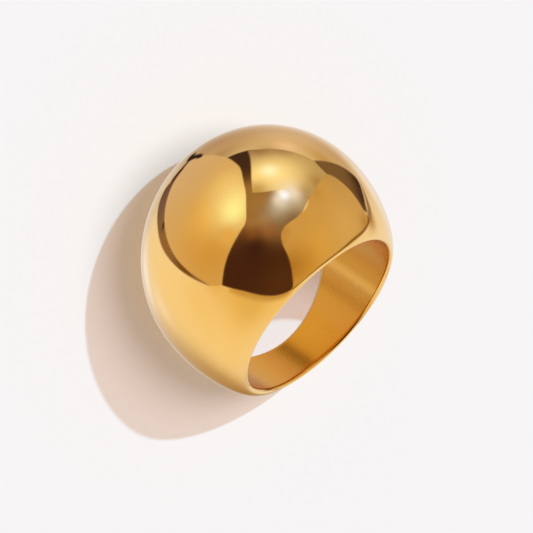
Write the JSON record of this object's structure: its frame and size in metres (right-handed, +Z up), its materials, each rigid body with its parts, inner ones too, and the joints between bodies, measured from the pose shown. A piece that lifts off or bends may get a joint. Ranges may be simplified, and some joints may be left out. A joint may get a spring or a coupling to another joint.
{
  "type": "dome ring",
  "caption": "Chunky finger ring in one piece: a high, round, polished crown that narrows through its shoulders to a thin shank.",
  "frame": {"origin": "centre of the bounding box, on the surface that the ring lies on", "axes": "+Z up with the ring lying on its side on its lower rim, -Y towards the crown, +Y towards the shank, X across; x = 0 is the mirror plane, and the finger hole leans 22.4 degrees from +Z towards +Y"},
  "size_m": [0.024, 0.0268, 0.0187],
  "materials": {
    "gold": "mirror-polished gold plating outside, soft satin in the finger hole"
  },
  "bodies": {
    "root": {"dome_ring": "gold"}
  },
  "joints": []
}
